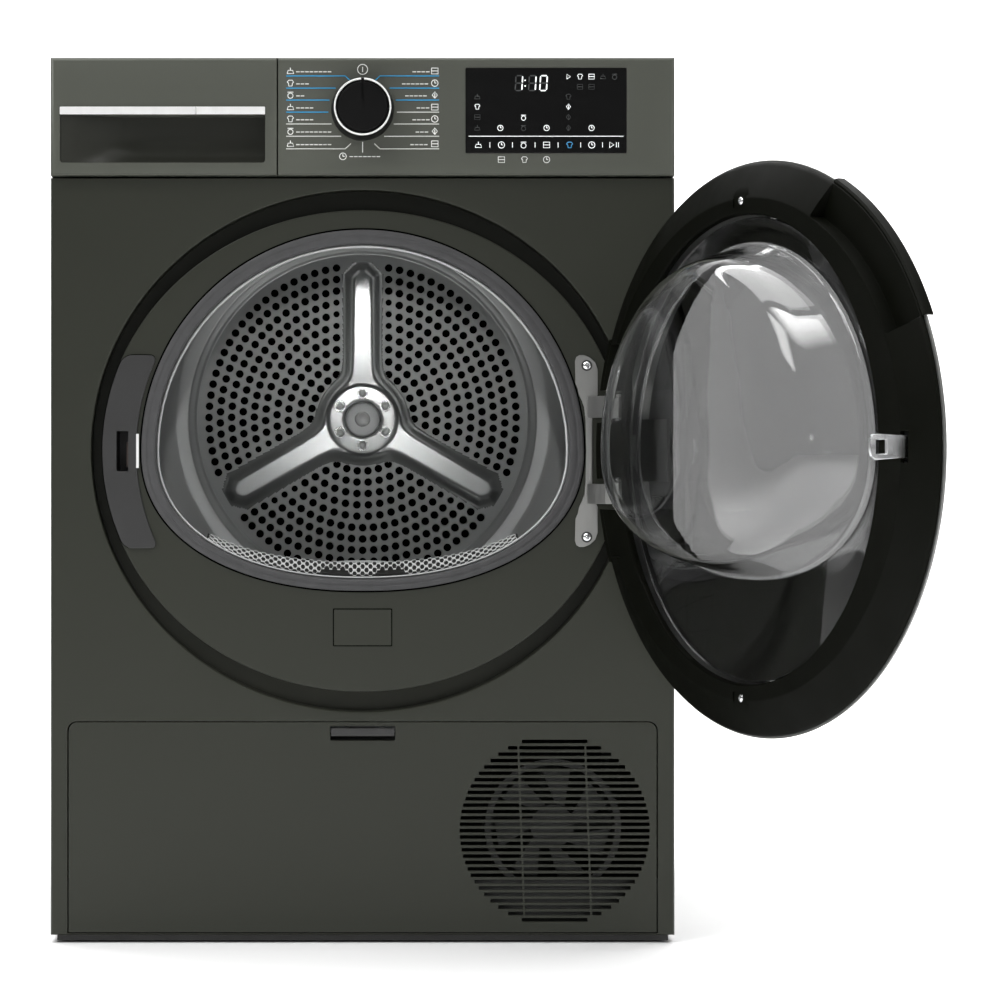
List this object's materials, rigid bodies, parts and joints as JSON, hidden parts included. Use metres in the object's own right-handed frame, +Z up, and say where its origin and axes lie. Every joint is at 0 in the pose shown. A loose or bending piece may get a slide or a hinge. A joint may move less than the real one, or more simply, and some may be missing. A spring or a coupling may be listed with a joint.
{
  "type": "clothes dryer",
  "caption": "Free-standing heat-pump clothes dryer with a swung-open round door, stainless drum, water tank drawer, selector knob, display and lower service flap.",
  "frame": {"origin": "on the floor under the middle of the cabinet, on the small raised pad under its base", "axes": "+X to the right seen from the front, +Y towards the wall behind it (the front faces -Y), +Z up"},
  "size_m": [0.7675, 1.0592, 0.85],
  "materials": {
    "base_tray": "moulded, fine matt grain",
    "left_side_panel": "satin anthracite enamel on pressed steel",
    "right_side_panel": "satin anthracite enamel on pressed steel",
    "rear_panel": "bare galvanised sheet",
    "rear_duct_cover": "bare galvanised sheet",
    "worktop": "satin anthracite laminate edge and top",
    "front_panel": "satin anthracite enamel on pressed steel",
    "door_seal": "matt moulded rubber",
    "lock_plate": "moulded, matt",
    "control_fascia": "satin metallic anthracite",
    "display_window": "glossy black",
    "display_board": "green circuit board",
    "tank_guide": "moulded, light grey",
    "hinge_bracket": "zinc-plated, satin",
    "hinge_pin": "plain steel pin",
    "front_bulkhead": "moulded, light grey",
    "drum_felt_seal": "pressed felt",
    "bearing_housing": "pressed galvanised bar",
    "drive_belt": "ribbed black belt",
    "drive_motor": "dark enamel",
    "fan_shroud": "moulded, dark",
    "compressor": "black enamel",
    "evaporator": "bare fins",
    "condenser": "bare fins",
    "refrigerant_pipe": "bare copper",
    "exchanger_cover": "moulded, dark grey",
    "condensate_pump": "moulded, dark grey",
    "drain_hose": "smooth black hose",
    "mains_inlet": "moulded, black",
    "door_inner_frame": "satin black",
    "door_outer_bezel": "satin grey trim",
    "door_outer_window": "smoked, glossy",
    "door_glass_bowl": "clear pressed glass",
    "latch_hook": "bright stamped steel",
    "hinge_leaf": "zinc-plated",
    "drawer_front": "satin metallic anthracite",
    "tank_handle_trim": "mirror-bright",
    "water_tank": "translucent moulded tank",
    "program_knob": "satin black with a pale ring",
    "lint_filter": "white frame with fine mesh",
    "service_flap": "satin anthracite",
    "flap_catch": "moulded, dark grey",
    "cooling_fan": "moulded, dark",
    "cover_lever_left": "moulded, light grey",
    "cover_lever_right": "moulded, light grey",
    "drum_shell": "bright stainless",
    "drum_rear_wall": "bright stainless, embossed and perforated",
    "drum_shaft": "turned steel",
    "lifter_1": "moulded, light grey",
    "lifter_2": "moulded, light grey",
    "lifter_3": "moulded, light grey",
    "motor_pulley": "turned steel",
    "process_fan": "moulded, dark",
    "drum_roller_left": "moulded rubber tread",
    "drum_roller_right": "moulded rubber tread",
    "idler_arm": "stamped galvanised steel",
    "idler_pulley": "moulded, dark",
    "foot_front_left": "moulded pad on a threaded stud",
    "foot_front_right": "moulded pad on a threaded stud"
  },
  "bodies": {
    "cabinet": {"base_tray": "base_tray", "left_side_panel": "left_side_panel", "right_side_panel": "right_side_panel", "rear_panel": "rear_panel", "rear_duct_cover": "rear_duct_cover", "worktop": "worktop", "front_panel": "front_panel", "door_seal": "door_seal", "lock_plate": "lock_plate", "control_fascia": "control_fascia", "display_window": "display_window", "display_board": "display_board", "tank_guide": "tank_guide", "hinge_bracket": "hinge_bracket", "hinge_pin": "hinge_pin", "front_bulkhead": "front_bulkhead", "drum_felt_seal": "drum_felt_seal", "bearing_housing": "bearing_housing", "drive_belt": "drive_belt", "drive_motor": "drive_motor", "fan_shroud": "fan_shroud", "compressor": "compressor", "evaporator": "evaporator", "condenser": "condenser", "refrigerant_pipe": "refrigerant_pipe", "exchanger_cover": "exchanger_cover", "condensate_pump": "condensate_pump", "drain_hose": "drain_hose", "mains_inlet": "mains_inlet"},
    "door": {"door_inner_frame": "door_inner_frame", "door_outer_bezel": "door_outer_bezel", "door_outer_window": "door_outer_window", "door_glass_bowl": "door_glass_bowl", "latch_hook": "latch_hook", "hinge_leaf": "hinge_leaf"},
    "tank_drawer": {"drawer_front": "drawer_front", "tank_handle_trim": "tank_handle_trim", "water_tank": "water_tank"},
    "selector": {"program_knob": "program_knob"},
    "filter": {"lint_filter": "lint_filter"},
    "flap": {"service_flap": "service_flap"},
    "catch": {"flap_catch": "flap_catch"},
    "fan": {"cooling_fan": "cooling_fan"},
    "lever_left": {"cover_lever_left": "cover_lever_left"},
    "lever_right": {"cover_lever_right": "cover_lever_right"},
    "drum": {"drum_shell": "drum_shell", "drum_rear_wall": "drum_rear_wall", "drum_shaft": "drum_shaft", "lifter_1": "lifter_1", "lifter_2": "lifter_2", "lifter_3": "lifter_3"},
    "motor_rotor": {"motor_pulley": "motor_pulley", "process_fan": "process_fan"},
    "roller_left": {"drum_roller_left": "drum_roller_left"},
    "roller_right": {"drum_roller_right": "drum_roller_right"},
    "belt_arm": {"idler_arm": "idler_arm"},
    "belt_wheel": {"idler_pulley": "idler_pulley"},
    "foot_left": {"foot_front_left": "foot_front_left"},
    "foot_right": {"foot_front_right": "foot_front_right"}
  },
  "joints": [
    {"name": "door_hinge", "type": "hinge", "parent": "cabinet", "child": "door", "pos_m": [0.24, -0.306, 0.4714], "axis": [0, 0, 1], "range_deg": [-116.5, 40]},
    {"name": "tank_drawer_slide", "type": "slide", "parent": "cabinet", "child": "tank_drawer", "axis": [0, -1, 0], "range_m": [0, 0.36]},
    {"name": "selector_turn", "type": "hinge", "parent": "cabinet", "child": "selector", "pos_m": [0, -0.3, 0.7974], "axis": [0, -1, 0], "continuous": true},
    {"name": "filter_slide", "type": "slide", "parent": "cabinet", "child": "filter", "axis": [0, 0, 1], "range_m": [0, 0.15]},
    {"name": "flap_hinge", "type": "hinge", "parent": "cabinet", "child": "flap", "pos_m": [0, -0.277, 0.022], "axis": [1, 0, 0], "range_deg": [0, 90]},
    {"name": "catch_press", "type": "slide", "parent": "flap", "child": "catch", "axis": [0, 0, -1], "range_m": [0, 0.003], "stiffness_N_per_m": 900, "springref_m": -0.001},
    {"name": "cooling_fan_spin", "type": "hinge", "parent": "cabinet", "child": "fan", "pos_m": [0.1839, -0.238, 0.1079], "axis": [0, 1, 0], "continuous": true},
    {"name": "left_lever_turn", "type": "hinge", "parent": "cabinet", "child": "lever_left", "pos_m": [-0.24, -0.261, 0.115], "axis": [0, 1, 0], "range_deg": [0, 90]},
    {"name": "right_lever_turn", "type": "hinge", "parent": "cabinet", "child": "lever_right", "pos_m": [0.02, -0.261, 0.115], "axis": [0, 1, 0], "range_deg": [-90, 0]},
    {"name": "drum_spin", "type": "hinge", "parent": "cabinet", "child": "drum", "pos_m": [0, 0, 0.51], "axis": [0, 1, 0], "continuous": true},
    {"name": "motor_spin", "type": "hinge", "parent": "cabinet", "child": "motor_rotor", "pos_m": [0.16, 0.15, 0.15], "axis": [0, 1, 0], "continuous": true},
    {"name": "left_roller_spin", "type": "hinge", "parent": "cabinet", "child": "roller_left", "pos_m": [-0.17339, -0.202, 0.26237], "axis": [0, 1, 0], "continuous": true},
    {"name": "right_roller_spin", "type": "hinge", "parent": "cabinet", "child": "roller_right", "pos_m": [0.17339, -0.202, 0.26237], "axis": [0, 1, 0], "continuous": true},
    {"name": "belt_arm_turn", "type": "hinge", "parent": "cabinet", "child": "belt_arm", "pos_m": [0.07, 0.0715, 0.085], "axis": [0, 1, 0], "range_deg": [-6, 0], "stiffness_Nm_per_rad": 8, "springref_deg": 2.86},
    {"name": "belt_wheel_spin", "type": "hinge", "parent": "belt_arm", "child": "belt_wheel", "pos_m": [0.07272, 0.06, 0.15862], "axis": [0, 1, 0], "continuous": true},
    {"name": "left_foot_turn", "type": "hinge", "parent": "cabinet", "child": "foot_left", "pos_m": [-0.255, -0.222, 0], "axis": [0, 0, 1], "continuous": true},
    {"name": "right_foot_turn", "type": "hinge", "parent": "cabinet", "child": "foot_right", "pos_m": [0.255, -0.222, 0], "axis": [0, 0, 1], "continuous": true}
  ],
  "couplings": [
    {"joint": "motor_spin", "follows": "drum_spin", "ratio": 22.667},
    {"joint": "left_roller_spin", "follows": "drum_spin", "ratio": -9.0667},
    {"joint": "right_roller_spin", "follows": "drum_spin", "ratio": -9.0667}
  ]
}
